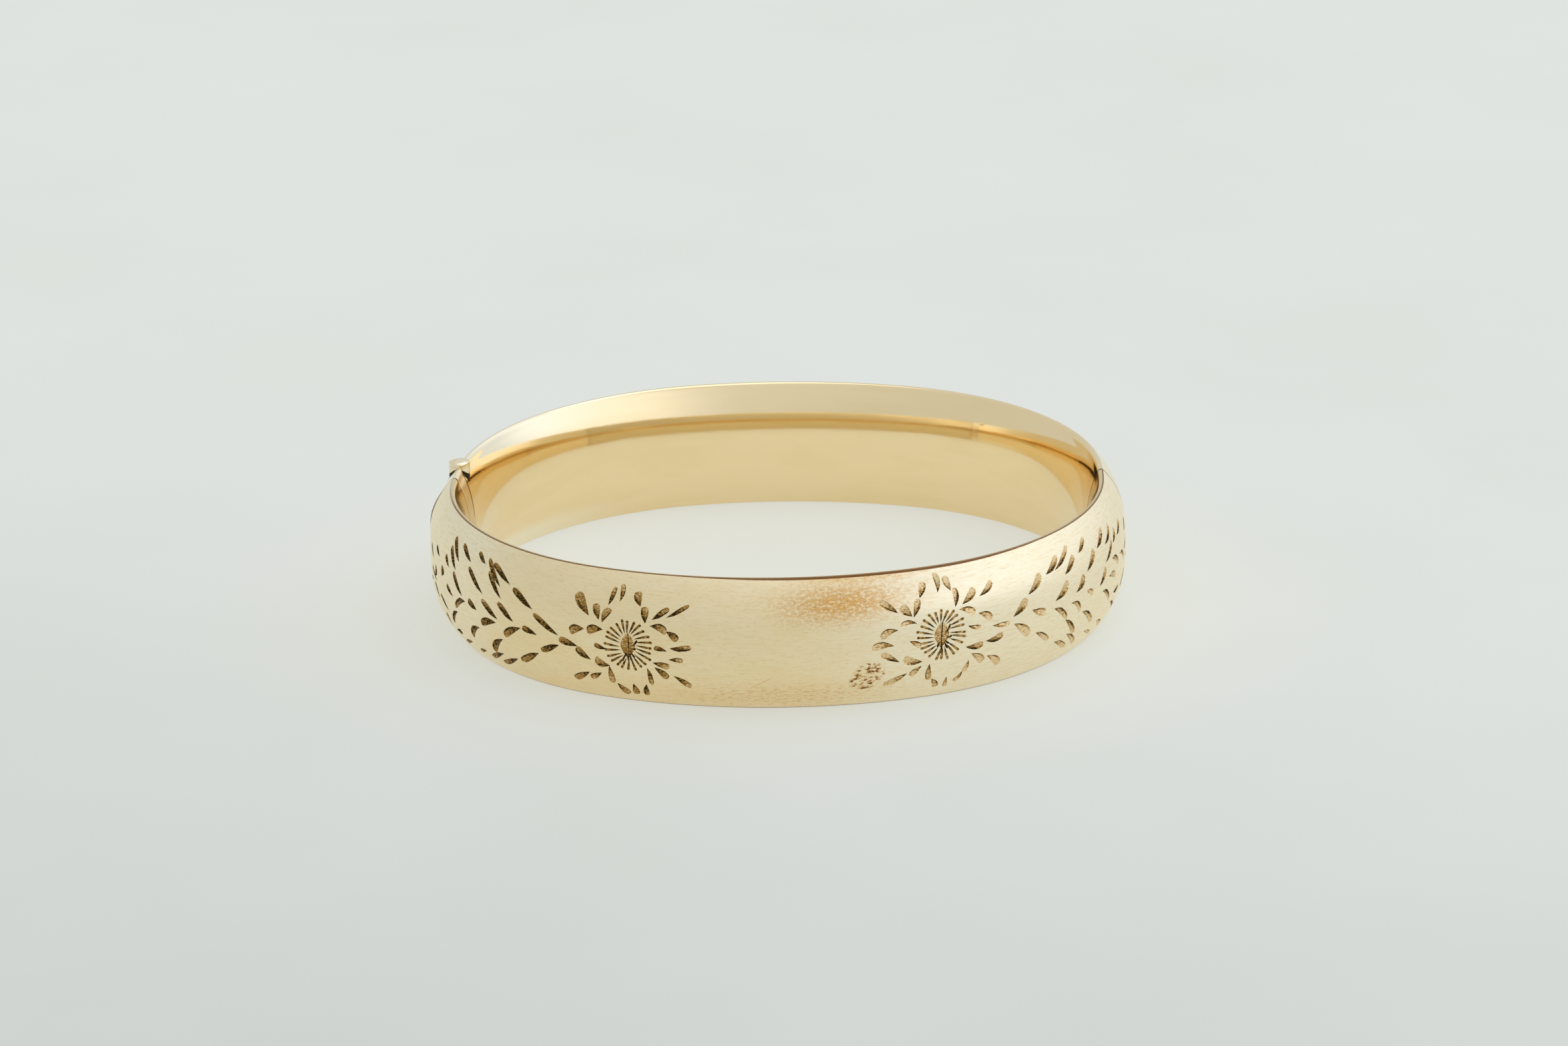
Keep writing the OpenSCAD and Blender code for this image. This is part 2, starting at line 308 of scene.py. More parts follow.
FLOWER_L, FLOWER_R = (-11.6, 6.2), (16.2, 6.7)

# Each cut: where its round end is from the flower's middle (along, up), the direction in degrees
# in which it runs to its point, its length, its width and how far its middle bows to the left.
LEFT_PETALS = [
    (-5.0, 4.3, -55, 2.3, 1.0, 0), (-3.1, 3.6, -75, 1.5, 0.75, 0), (-1.6, 3.3, -120, 1.6, 0.7, -0.2),
    (-1.3, 5.2, -110, 1.7, 0.45, 0), (-0.7, 5.5, -95, 1.5, 0.5, 0.1), (0.7, 5.0, -70, 1.3, 0.8, 0),
    (1.5, 3.8, -85, 1.5, 0.75, 0.05), (3.8, 3.8, -145, 1.9, 0.55, -0.05), (5.6, 4.2, -150, 2.4, 0.4, 0),
    (3.6, 1.7, 165, 1.6, 0.8, -0.15), (4.6, 1.0, 145, 1.3, 0.75, 0), (2.4, 0, -10, 1.2, 0.5, 0.1),
    (5.8, 0.3, -175, 2.0, 0.6, 0.05), (5.0, -1.0, 180, 1.3, 0.5, 0), (3.8, -1.7, 170, 1.6, 0.65, 0.05),
    (3.6, -2.9, 140, 1.6, 0.7, 0), (5.6, -3.7, 145, 1.9, 0.6, 0), (2.0, -3.8, 100, 1.8, 0.5, -0.05),
    (1.2, -5.2, 80, 1.4, 0.6, 0), (0.3, -5.2, 95, 1.3, 0.7, 0), (-0.4, -5.2, 130, 1.5, 0.8, 0.1),
    (-1.7, -4.1, 95, 1.9, 0.65, 0.05), (-3.2, -1.7, -20, 1.5, 0.85, -0.15),
    (-5.0, -0.9, -35, 1.7, 0.75, -0.05), (-3.2, -0.3, -15, 1.2, 0.5, 0), (-3.9, 1.0, 10, 1.6, 0.9, 0.1),
    (-5.6, 0.7, 15, 1.5, 0.9, 0.1), (-5.6, -4.2, 30, 2.0, 0.7, -0.05), (-3.9, -3.8, 30, 1.4, 0.6, -0.05),
    (-6.7, -0.4, -10, 1.9, 0.75, 0.05),
]
LEFT_SPRAY = [
    (-26.2, 2.9, -25, 1.5, 0.55, 0), (-23.2, 3.1, -40, 1.4, 0.6, 0), (-22.4, 4.2, -45, 2.5, 0.65, 0),
    (-22.3, 5.1, -40, 2.7, 0.6, 0), (-20.4, 5.0, -25, 2.4, 0.5, 0), (-17.5, 5.1, -25, 1.6, 0.45, 0),
    (-15.8, 5.0, -40, 3.1, 0.55, 0), (-15.0, 4.8, -25, 3.0, 0.55, 0.05), (-15.3, 4.0, -45, 2.9, 0.6, 0),
    (-11.9, 3.3, -30, 2.8, 0.7, 0.05), (-9.4, 1.5, -30, 3.1, 0.65, 0), (-18.4, 3.5, -35, 3.2, 0.6, 0),
    (-21.1, 2.2, -45, 2.6, 0.7, -0.1), (-16.0, 1.1, -30, 2.6, 0.7, 0), (-13.7, 1.5, -35, 2.4, 0.7, 0),
    (-22.7, 0.3, -25, 1.6, 0.6, 0), (-18.2, 0.3, -20, 1.5, 0.75, 0.05), (-16.2, -1.2, 15, 2.3, 0.8, 0.1),
    (-10.7, -0.2, -10, 1.7, 0.65, 0.1), (-13.0, -1.5, 30, 2.5, 0.8, 0.1),
    (-15.0, -3.8, 45, 2.5, 0.8, 0.2), (-18.2, -3.3, 40, 2.2, 0.75, 0.3), (-16.0, -4.8, 25, 2.6, 0.55, 0),
    (-14.4, -4.9, 25, 2.9, 0.55, -0.1), (-11.4, -3.7, 30, 2.8, 0.75, -0.05),
    (-8.7, -1.9, 25, 2.2, 0.65, -0.05), (-20.8, -1.2, 30, 2.4, 0.7, 0.25),
    (-22.1, -3.3, 45, 2.4, 0.6, 0.25), (-24.0, -3.0, -60, 1.4, 0.6, 0), (-23.6, 1.7, -115, 1.1, 0.9, 0),
    (-26.0, 0.9, -125, 1.4, 0.8, 0.15), (-28.2, 0.2, -20, 2.3, 0.45, 0), (-27.0, -1.0, -30, 2.0, 0.5, 0),
    (-24.8, -1.4, -25, 2.3, 0.45, 0), (-20.8, -3.9, -170, 1.5, 0.6, 0),
    (-21.0, -5.0, 20, 2.2, 0.45, 0.05), (-18.0, -4.9, 20, 1.5, 0.45, 0.05),
    (-28.8, 2.2, -30, 1.8, 0.5, 0), (-29.6, -1.6, 15, 1.6, 0.45, 0.1),
]
RIGHT_PETALS = [
    (-1.2, 4.9, -115, 1.4, 0.7, -0.05), (-0.1, 5.5, -90, 1.6, 0.6, 0.2), (0.7, 5.1, -70, 1.3, 0.7, 0.05),
    (1.5, 4.1, -95, 1.7, 0.6, 0.1), (5.2, 4.0, -145, 1.8, 0.6, 0.1), (3.4, 3.7, -140, 1.8, 0.75, 0.05),
    (3.2, 1.6, 160, 1.6, 0.7, -0.1), (4.8, 0.7, 150, 1.5, 0.75, -0.1), (3.7, 0.1, 165, 1.3, 0.5, 0.1),
    (6.6, -0.2, 175, 1.8, 0.55, 0.1), (5.9, -1.1, -170, 1.8, 0.7, 0.15), (3.9, -1.6, -180, 1.7, 0.7, 0.1),
    (4.0, -3.4, 140, 1.6, 0.8, -0.05), (5.7, -4.1, 140, 1.8, 0.8, -0.1), (2.1, -4.2, 70, 1.3, 0.5, -0.1),
    (1.3, -5.1, 55, 1.3, 0.5, -0.15), (0.6, -5.6, 90, 1.2, 0.4, 0), (-0.2, -5.4, 120, 1.2, 0.6, 0),
    (-1.1, -4.5, 90, 1.8, 0.6, 0.05), (-2.9, -3.7, 40, 1.4, 0.6, 0), (-5.3, -4.4, 25, 2.4, 0.6, -0.15),
    (-3.5, -1.9, -15, 1.8, 0.85, -0.1), (-5.5, -1.2, -30, 1.9, 0.65, 0.05),
    (-6.3, -0.5, 0, 2.0, 0.75, 0.15), (-5.5, 0.4, 20, 1.7, 0.75, 0.2), (-3.7, 1.4, 0, 1.5, 0.5, 0.2),
    (-3.6, 3.1, -45, 1.4, 0.85, 0.05), (-5.5, 3.7, -35, 2.0, 0.65, 0.1), (-1.9, 3.6, -110, 1.7, 0.65, 0),
    (-1.9, -0.8, 150, 1.2, 0.55, 0),
]
RIGHT_SPRAY = [
    (8.6, 1.6, -140, 2.1, 0.85, 0.05), (10.5, 3.4, -140, 2.3, 0.8, 0.1),
    (13.1, 4.3, -150, 2.3, 0.65, 0.1), (14.9, 4.7, -150, 3.0, 0.5, 0.1),
    (15.3, 3.7, -145, 2.2, 0.65, 0.05), (17.7, 4.6, -150, 1.9, 0.5, 0.05),
    (21.3, 4.3, -150, 2.5, 0.6, 0.1), (23.0, 4.1, -150, 2.5, 0.5, 0.25),
    (26.2, 3.4, -155, 2.1, 0.5, 0.15), (24.0, 3.3, -140, 1.6, 0.6, 0.1),
    (22.6, 2.7, -145, 2.6, 0.55, 0.15), (18.6, 3.2, -140, 2.4, 0.75, 0.1),
    (20.4, 0.8, -135, 2.0, 0.75, 0.15), (16.2, 1.6, -135, 1.9, 0.8, 0.25),
    (13.8, 1.7, -145, 2.3, 0.85, 0.15), (17.7, -0.7, 155, 1.2, 0.65, 0),
    (21.4, -2.8, 140, 2.3, 0.6, -0.25), (23.0, -0.9, 165, 1.9, 0.7, -0.1),
    (26.7, -0.7, 150, 2.5, 0.55, -0.3), (24.0, -0.1, 150, 2.2, 0.65, -0.25),
    (28.6, 0.8, -160, 2.0, 0.5, 0), (27.2, -1.8, -150, 2.3, 0.5, 0.1), (24.3, -2.4, -175, 1.7, 0.5, 0.15),
    (26.6, -3.4, 160, 1.3, 0.5, 0), (23.8, -4.6, 145, 2.2, 0.5, -0.15), (20.9, -5.1, 150, 1.8, 0.6, 0),
    (18.8, -5.3, 155, 2.0, 0.4, -0.05), (17.9, -3.7, 140, 2.7, 0.7, -0.15),
    (15.5, -1.7, 140, 1.8, 0.65, -0.3), (13.5, -1.8, 140, 2.3, 0.65, -0.2),
    (14.9, -3.8, 130, 2.5, 0.65, -0.1), (15.7, -5.2, 140, 2.6, 0.6, -0.1),
    (10.7, -0.2, 160, 1.7, 0.8, 0.15), (8.8, -1.9, 140, 2.3, 0.95, -0.05),
    (11.2, -3.2, 145, 2.1, 0.6, -0.05), (14.2, -5.0, 150, 2.4, 0.6, -0.05),
    (29.0, 2.6, -150, 1.8, 0.5, 0.1), (29.4, -1.4, 165, 1.6, 0.45, -0.1),
]
STROKES = 24             # radial strokes of each flower's middle
BURST_W, BURST_H = 4.6, 4.9
SEED_W, SEED_H = 1.35, 2.5
SEED_NICKS = 6
HEAD_SLOPE = 0.5         # share of a cut's length over which the graver goes in
POINT_DARK = 0.5         # how much darker a cut is at its point
SLIM = 0.3               # a cut no wider than this share of its length counts as slim
WIDEST, WIDEST_SLIM = 0.3, 0.42  # where along its length a cut is widest
FULL_W = 0.6             # width from which a cut has its whole depth
TONE_SPREAD = 0.14       # how much the patina differs from cut to cut
SKIN_STEP, SKIN_ROWS = 0.4, 36  # spacing of the skin's points along the band, and their rows
EDGE_ROWS = (0, 0.06, 0.13)     # rows close to each rim, by their distance from it
CUT_CLEAR = 0.09         # how far the skin's own points stay from a cut's sides


class Cut:
    """One stroke of the graver: a V-shaped groove round a bowed middle line."""

    def __init__(self, s, z, turn, length, width, bow, depth=0.16, fat=WIDEST, keel=0.5, tone=0.5,
                 taper=1.5, blunt=2.6, lopsided=0.35, steps=9):
        a = math.radians(turn)
        self.start = np.array([s, z])
        self.ahead = np.array([math.cos(a), math.sin(a)])
        self.left = np.array([-math.sin(a), math.cos(a)])
        self.length, self.width, self.bow = length, width, bow
        self.depth, self.tone, self.taper, self.blunt, self.steps = depth, tone, taper, blunt, steps
        self.keel = keel * (1 if math.sin(a) * math.cos(a) >= 0 else -1)
        self.fat = {side: fat * (1 + lopsided * (1 if side * self.keel > 0 else -1)) for side in (-1, 1)}

    def half_width(self, t, side=1):
        """Half the width from the blunt end, t = 0, to the point, t = 1, on one side."""
        t, fat = np.clip(np.asarray(t, float), 0, 1), self.fat[side]
        head = (1 - np.clip(1 - t / fat, 0, 1) ** self.blunt) ** (1 / self.blunt)
        tail = 1 - ((t - fat) / (1 - fat)).clip(0) ** self.taper
        return self.width / 2 * np.where(t < fat, head, tail)

    def point(self, t, across):
        """A place on the band, across being the share of the half width to the left."""
        side = 1 if across >= 0 else -1
        lateral = 4 * self.bow * t * (1 - t) + across * self.half_width(t, side)
        return self.start + self.ahead * self.length * t + self.left * lateral

    def outline(self):
        """The closed edge of the cut, up its left side and back down its right side."""
        ring = []
        for side in (1, -1):
            fat = self.fat[side]
            forth = [0.0, 0.06 * fat, 0.2 * fat, 0.5 * fat] + list(np.linspace(fat, 1, self.steps - 2))
            line = [self.point(t, side) for t in forth]
            ring += line if side > 0 else line[-2:0:-1]
        return ring

    def ridge(self, across):
        """A line along the cut's floor."""
        return [self.point(t, across) for t in np.linspace(0.1, 0.94, self.steps - 2)]

    def depth_at(self, p):
        """Depth and tone of this cut at places on the band; the depth is 0 outside it."""
        rel = p - self.start
        t = rel @ self.ahead / self.length
        inside = (t > 0) & (t < 1)
        lateral = rel @ self.left - 4 * self.bow * t * (1 - t)
        half = np.where(lateral > 0, self.half_width(t, 1), self.half_width(t, -1))
        half = np.maximum(half, 1e-6)
        keel = abs(self.keel)
        v = lateral / half * np.sign(self.keel)
        rise = np.where(v > keel, (1 - np.abs(v)) / (1 - keel), (1 + v) / (1 + keel))
        entry = 0.35 + 0.65 * np.clip(t / HEAD_SLOPE, 0, 1)
        deep = self.depth * entry * np.sqrt(half * 2 / self.width) * np.clip(rise, 0, 1) ** 0.8
        tone = self.tone + POINT_DARK * (t - 0.45)
        return np.where(inside & (np.abs(v) < 0.999), deep, 0), tone


def petal_cuts(rows, centre, tone, depth):
    """Cuts of a flower's petals or of a spray."""
    vary = random.Random(len(rows))
    cuts = []
    for s, z, turn, length, width, bow in rows:
        shade = tone + vary.uniform(-TONE_SPREAD, TONE_SPREAD)
        cuts.append(Cut(centre[0] + s, centre[1] + z, turn, length, width, bow,
                        depth=depth * min(1, width / FULL_W) ** 0.5, tone=shade,
                        fat=WIDEST if width > SLIM * length else WIDEST_SLIM))
    return cuts


def burst_cuts(centre, lean, tone, rng):
    """The flower's middle: an almond seed with a slit, and a ring of thin strokes with dots."""
    cuts = []

    def stroke(start, end, width, bow, depth, shade, **shape):
        run = end - start
        cuts.append(Cut(centre[0] + start.x, centre[1] + start.y, angle(run.x, run.y), run.length,
                        width, bow, depth=depth, keel=0.02, tone=shade, lopsided=0, **shape))

    for i in range(STROKES):
        a = 2 * math.pi * (i + rng.uniform(-0.18, 0.18)) / STROKES
        out = Vector((math.cos(a) * BURST_W / 2, math.sin(a) * BURST_H / 2)) * rng.uniform(0.93, 1.04)
        root = Vector((math.cos(a + 0.12) * SEED_W * 0.5, math.sin(a + 0.12) * SEED_H * 0.48))
        stroke(out, root, 0.24, rng.uniform(-0.03, 0.03), 0.06, tone + 0.2, fat=0.1, taper=2.2, steps=7)
        stroke(out * 1.02, out * 0.88, 0.27, 0, 0.07, tone + 0.2, fat=0.5, blunt=2, steps=5)
    top = Vector((0, SEED_H / 2))
    top.rotate(Matrix.Rotation(math.radians(lean), 2))
    stroke(top, -top, SEED_W, 0, 0.16, tone, fat=0.5, taper=1.6, blunt=1.5, steps=11)
    stroke(top * 1.25, top * -1.2, 0.17, 0.04, 0.24, 0.7, fat=0.4, taper=1.3, blunt=1.2, steps=8)
    for i in range(SEED_NICKS):
        a = -2.2 + 0.55 * i + rng.uniform(-0.2, 0.2)
        from_seed = Vector((math.cos(a) * SEED_W * 0.5, math.sin(a) * SEED_H * 0.5))
        to = from_seed * 0.35 + Vector((0.1, -0.25))
        stroke(from_seed * rng.uniform(1.1, 1.5), to, 0.2, 0.05, 0.17, 0.8, fat=0.3, steps=6)
    return cuts


def all_cuts():
    """Both flowers and their sprays, their cuts darker on the left than on the right."""
    rng = random.Random(7)
    cuts = petal_cuts(LEFT_PETALS, FLOWER_L, 0.6, 0.16)
    cuts += petal_cuts(LEFT_SPRAY, FLOWER_L, 0.85, 0.17)
    cuts += petal_cuts(RIGHT_PETALS, FLOWER_R, 0.2, 0.15)
    cuts += petal_cuts(RIGHT_SPRAY, FLOWER_R, 0.16, 0.15)
    cuts += burst_cuts(FLOWER_L, 0, 0.5, rng) + burst_cuts(FLOWER_R, -4, 0.3, rng)
    return cuts


def deepest(cuts, places):
    """The depth and the patina of the deepest cut at each place."""
    deep, tone = np.zeros(len(places)), np.zeros(len(places))
    for cut in cuts:
        d, shade = cut.depth_at(places)
        tone = np.where(d > deep, shade, tone)
        deep = np.maximum(deep, d)
    return deep, tone


def skin_points(cuts, s0, s1):
    """A grid over the uncut skin, kept clear of the cuts except along the sheet's edges."""
    columns = np.linspace(s0, s1, int((s1 - s0) / SKIN_STEP))
    low = np.array(EDGE_ROWS)
    rows = np.unique(np.concatenate([heights(SKIN_ROWS)[1:-1], low, BAND_H - low]))
    grid = np.stack(np.meshgrid(columns, rows, indexing="ij"), -1).reshape(-1, 2)
    keep = np.ones(len(grid), bool)
    for cut in cuts:
        rel = grid - cut.start
        t = rel @ cut.ahead / cut.length
        v = rel @ cut.left - 4 * cut.bow * t * (1 - t)
        half = np.maximum(cut.half_width(t, 1), cut.half_width(t, -1))
        keep &= ~((t > -0.1) & (t < 1.06) & (np.abs(v) < half + CUT_CLEAR))
    edge = (grid[:, 0] == s0) | (grid[:, 0] == s1) | (grid[:, 1] == 0) | (grid[:, 1] == BAND_H)
    return [tuple(p) for p in grid[keep | edge]]


def engraved_shell(name, skin, floor_material, body):
    """Front outer sheet: a triangulated dome whose cuts have real walls and keels."""
    cuts = all_cuts()
    points = skin_points(cuts, CAP_S + CAP_JOINT, FRONT.half)
    edges = []
    for cut in cuts:
        first = len(points)
        ring = cut.outline()
        points += [tuple(p) for p in ring]
        edges += [(first + i, first + (i + 1) % len(ring)) for i in range(len(ring))]
        for across in (cut.keel, -0.45 * np.sign(cut.keel)):
            first = len(points)
            line = cut.ridge(across)
            points += [tuple(p) for p in line]
            edges += [(first + i, first + i + 1) for i in range(len(line) - 1)]
    flat, _, faces, _, _, _ = delaunay_2d_cdt([Vector(p) for p in points], edges, [], 0, 1e-5)
    flat = np.array([tuple(p) for p in flat])
    centres = flat[np.array(faces)].mean(1)
    deep, tone = deepest(cuts, flat)
    in_cut = deepest(cuts, centres)[0] > 0
    return dome_solid(name, flat, deep, tone, faces, in_cut, skin, floor_material, body)


def dome_point(flat, deep):
    """Points of the front sheet, and the outward normals of the uncut dome."""
    tiny = 1e-3
    s, z = flat[:, 0], np.clip(flat[:, 1], 0, BAND_H)

    def skin(s, z):
        up = np.clip(1 - np.abs(z - FLARE_Z) / FLARE_H, 0, 1)
        near = np.clip(1 - (s - CAP_S) / FLARE_L, 0, 1)
        sprung = FLARE * (3 - 2 * up) * up * up * near * near
        return place(FRONT, s, dome(z) + sprung, crest_roll(z))

    point = skin(s, z)
    inner_z = np.clip(z, 2 * tiny, BAND_H - 2 * tiny)
    along = skin(s + tiny, inner_z) - skin(s - tiny, inner_z)
    up = skin(s, inner_z + tiny) - skin(s, inner_z - tiny)
    normal = np.cross(along, up)
    normal /= np.linalg.norm(normal, axis=1, keepdims=True)
    return point - normal * deep[:, None], normal


def dome_solid(name, flat, deep, tone, faces, in_cut, skin, floor_material, body):
    """The sheet as a closed solid: the cut skin, its plain inside and the edges between them."""
    outside, normal = dome_point(flat, deep)
    z = np.clip(flat[:, 1], 0, BAND_H)
    inner_z = SHEET * 0.8 + (BAND_H - SHEET * 1.6) * z / BAND_H
    inside = place(FRONT, flat[:, 0], np.maximum(dome(inner_z) - SHEET, 0.01), inner_z)
    n = len(flat)
    turned, sides = [], {}
    for f in faces:
        a, b, c = (outside[i] for i in f[:3])
        outward = np.dot(np.cross(b - a, c - a), normal[f[0]]) > 0
        face = tuple(f) if outward else tuple(reversed(f))
        turned.append(face)
        sides.update(dict.fromkeys(zip(face, face[1:] + face[:1])))
    all_faces = turned + [tuple(n + i for i in reversed(f)) for f in turned]
    all_faces += [(j, i, n + i, n + j) for i, j in sides if (j, i) not in sides]
    points = np.concatenate([outside, inside])
    obj = new_object(name, points, all_faces, skin, body, sharp=0)
    mesh = obj.data
    mesh.materials.append(floor_material)
    band_attribute(mesh, np.concatenate([
        np.stack([flat[:, 0], flat[:, 1], dome(flat[:, 1])], -1),
        np.stack([flat[:, 0], inner_z, dome(inner_z) - SHEET], -1)]))
    shade_cuts(mesh, len(turned), in_cut, normal, deep, tone)
    return obj


def shade_cuts(mesh, outer_faces, in_cut, normal, deep, tone):
    """Exact dome normals on the skin, faceted cuts, and a value at each cut corner: the cut's patina plus
    painted shade on its steeper walls.
    """
    patina_and_shade = mesh.attributes.new("patina_and_shade", "FLOAT", "CORNER")
    loops = [(0, 0, 0)] * len(mesh.loops)
    values = np.zeros(len(mesh.loops), np.float32)
    vary = random.Random(11)
    for i, face in enumerate(mesh.polygons):
        skin = i < outer_faces and not in_cut[i]
        for k in face.loop_indices:
            loops[k] = tuple(normal[mesh.loops[k].vertex_index]) if skin else tuple(face.normal)
        if skin or i >= outer_faces:
            continue
        face.material_index = 1
        shade = float(np.mean([tone[v] for v in face.vertices if deep[v] > 0] or [0.5]))
        nick = vary.uniform(-0.1, 0.1)
        # Painted shade: the more steeply a facet stands from the dome, the darker its colour.
        lean = face.normal @ Vector(normal[face.vertices[0]])
        wall_shade = 1 - min(1.0, max(0.0, (lean - 0.6) / 0.36))
        for k in face.loop_indices:
            values[k] = min(1, max(0, shade + 1.5 * wall_shade + nick))
    patina_and_shade.data.foreach_set("value", values)
    mesh.normals_split_custom_set(loops)


# ---- Materials ----

class Graph:
    """Short ways to add nodes to a material."""

    def __init__(self, name):
        self.material = bpy.data.materials.new(name)
        self.material.use_nodes = True
        self.tree = self.material.node_tree
        self.shader = self.tree.nodes["Principled BSDF"]

    def node(self, kind, inputs=None, out=0, **settings):
        """Adds a node, links or sets its inputs, and gives one of its outputs."""
        node = self.tree.nodes.new(kind)
        for key, value in settings.items():
            setattr(node, key, value)
        for key, value in (inputs or {}).items():
            if isinstance(value, bpy.types.NodeSocket):
                self.tree.links.new(value, node.inputs[key])
            else:
                node.inputs[key].default_value = value
        return node.outputs[out]

    def link(self, output, name):
        self.tree.links.new(output, self.shader.inputs[name])

    def band(self):
        """(s, z, offset) in millimetres."""
        return self.node("ShaderNodeAttribute", attribute_name="band", out=1)

    def axis(self, vector, number):
        """One of a vector's three values."""
        return self.node("ShaderNodeSeparateXYZ", {0: vector}, out=number)

    def patina_and_shade(self):
        """How dark the floor of a cut is."""
        return self.node("ShaderNodeAttribute", attribute_name="patina_and_shade", out=2)

    def object_mm(self):
        """The place in the frame, in millimetres."""
        place = self.node("ShaderNodeTexCoord", out=3)
        return self.node("ShaderNodeVectorMath", {0: place, "Scale": 1000}, operation="SCALE")

    def stretch(self, vector, scale):
        return self.node("ShaderNodeMapping", {"Vector": vector, "Scale": scale})

    def noise(self, vector, scale, detail=3, rough=0.55):
        """Noise with a grain of its own along each axis: a larger scale makes it finer."""
        vector = self.stretch(vector, scale)
        values = {"Vector": vector, "Scale": 1.0, "Detail": detail, "Roughness": rough}
        return self.node("ShaderNodeTexNoise", values)

    def span(self, value, low, high, to_low=0.0, to_high=1.0):
        """A smooth step from one value to another."""
        values = {0: value, 1: low, 2: high, 3: to_low, 4: to_high}
        return self.node("ShaderNodeMapRange", values, interpolation_type="SMOOTHSTEP")

    def math(self, kind, a, b=0.0):
        return self.node("ShaderNodeMath", {0: a, 1: b}, operation=kind)

    def times(self, a, b):
        return self.math("MULTIPLY", a, b)

    def mix(self, share, a, b):
        return self.node("ShaderNodeMix", {0: share, 6: a, 7: b}, out=2, data_type="RGBA")

    def spot(self, vector, centre, size, turn=0.0, feather=0.5):
        """1 inside an ellipse on the band, falling to 0 at its edge."""
        local = self.node("ShaderNodeMapping", {
            "Vector": vector, "Location": (*centre, 0), "Rotation": (0, 0, math.radians(turn)),
            "Scale": (*size, 1e6)}, vector_type="TEXTURE")
        far = self.node("ShaderNodeVectorMath", {0: local}, operation="LENGTH", out=1)
        return self.span(far, 1 - feather, 1, 1, 0)

    def seam(self, s, ends, width=0.05):
        """1 in thin lines where a sheet ends, falling to 0 a little further in."""
        total = 0.0
        for end in ends:
            far = self.math("ABSOLUTE", self.math("SUBTRACT", s, end))
            total = self.math("ADD", total, self.span(far, width, width * 2.2, 1, 0))
        return self.math("MINIMUM", total, 1.0)

    def height(self, value, depth_mm, strength=1.0):
        """A normal bumped by a height."""
        values = {"Height": value, "Distance": depth_mm * MM, "Strength": strength}
        return self.node("ShaderNodeBump", values)


PALE_GOLD = (0.95, 0.80, 0.52, 1)
WARM_GOLD = (0.92, 0.74, 0.42, 1)
CREAM = (0.99, 0.90, 0.68, 1)
RUBBED = (0.84, 0.63, 0.33, 1)
POLISHED = (0.95, 0.765, 0.465, 1)
POLISHED_DEEP = (0.80, 0.65, 0.39, 1)
PIN_PALE, PIN_WARM = (0.96, 0.84, 0.60, 1), (0.90, 0.74, 0.47, 1)
BRASS = (0.78, 0.62, 0.33, 1)
SPRING = (0.80, 0.68, 0.40, 1)
RUST = (0.70, 0.38, 0.10, 1)
BROWN = (0.17, 0.06, 0.01, 1)
PIT = (0.13, 0.045, 0.006, 1)
CUT_PALE = (0.84, 0.64, 0.36, 1)
CUT_BROWN = (0.40, 0.21, 0.045, 1)
DEEP = (0.03, 0.02, 0.005, 1)

# Marks on the engraved sheet: middle (s, z), half sizes, turn in degrees, and soft share.
STAIN = (7.4, 10.5), (10, 3.1), 2, 0.95
LOW_STAIN = (2.5, 1.6), (14, 1.9), 0, 0.8
RUSTY_CREST = (10, BAND_H), (9.5, 0.8), 0, 0.8
WORN_CREST = (11, BAND_H), (20, 9), 0, 0.7
PITTED = (9.5, 3.4), (2.2, 1.6), 35, 0.6
SCRATCH = (0.2, 3.15), (1.75, 0.05), 30, 0.6
# Painted shade in a patch beside the cap's seam, over the sprung-out edge.
CAP_SHADE = (CAP_S, 9.0), (1.3, 3.6), 0, 0.5
# Where a liner's lip starts and ends turning pale with a painted highlight, along the rim.
NOT_PALE = (FRONT.half, FRONT.half + 1)
PALE_AT_HINGE = (BACK.half - 30, BACK.half - 12)
ALL_PALE = (-FRONT.half - 2, -FRONT.half - 1)


def metal(g, colour, rough, shine=1.0):
    """Sets the surface: a metal, or duller where shine is below 1."""
    g.shader.inputs["Specular IOR Level"].default_value = 0.03
    for name, value in (("Metallic", shine), ("Base Color", colour), ("Roughness", rough)):
        if isinstance(value, bpy.types.NodeSocket):
            g.link(value, name)
        else:
            g.shader.inputs[name].default_value = value


def rust(g, band, speck, colour):
    """Rust-brown stains: a large speckled one, a faint low one and one along the crest."""
    stain = g.spot(band, *STAIN)
    dots = g.noise(band, (2.2, 4, 0), 5, 0.75)
    dots = g.span(g.math("ADD", dots, g.times(stain, 0.1)), 0.48, 0.62)
    colour = g.mix(g.times(stain, g.math("ADD", g.times(dots, 0.72), 0.2)), colour, RUST)
    dark_dots = g.noise(band, (3.2, 5, 0), 3, 0.7)
    colour = g.mix(g.times(stain, g.span(dark_dots, 0.56, 0.64, 0, 0.55)), colour, CUT_BROWN)
    low = g.times(g.spot(band, *LOW_STAIN), g.span(speck, 0.46, 0.62, 0.1, 1))
    colour = g.mix(g.times(low, 0.55), colour, RUST)
    crest = g.times(g.spot(band, *RUSTY_CREST), g.span(speck, 0.4, 0.6, 0.15, 0.75))
    return g.mix(crest, colour, RUST)


def pitting(g, band, colour):
    """A patch of small dark pits with brown round them; gives the colour and the pits."""
    area = g.span(g.spot(band, *PITTED), 0.1, 0.6)
    holes = g.noise(band, (1.8, 3.0, 0), 4, 0.7)
    pits = g.times(area, g.span(holes, 0.54, 0.58))
    colour = g.mix(g.times(area, g.span(holes, 0.46, 0.55, 0, 0.8)), colour, RUST)
    return g.mix(pits, colour, PIT), pits


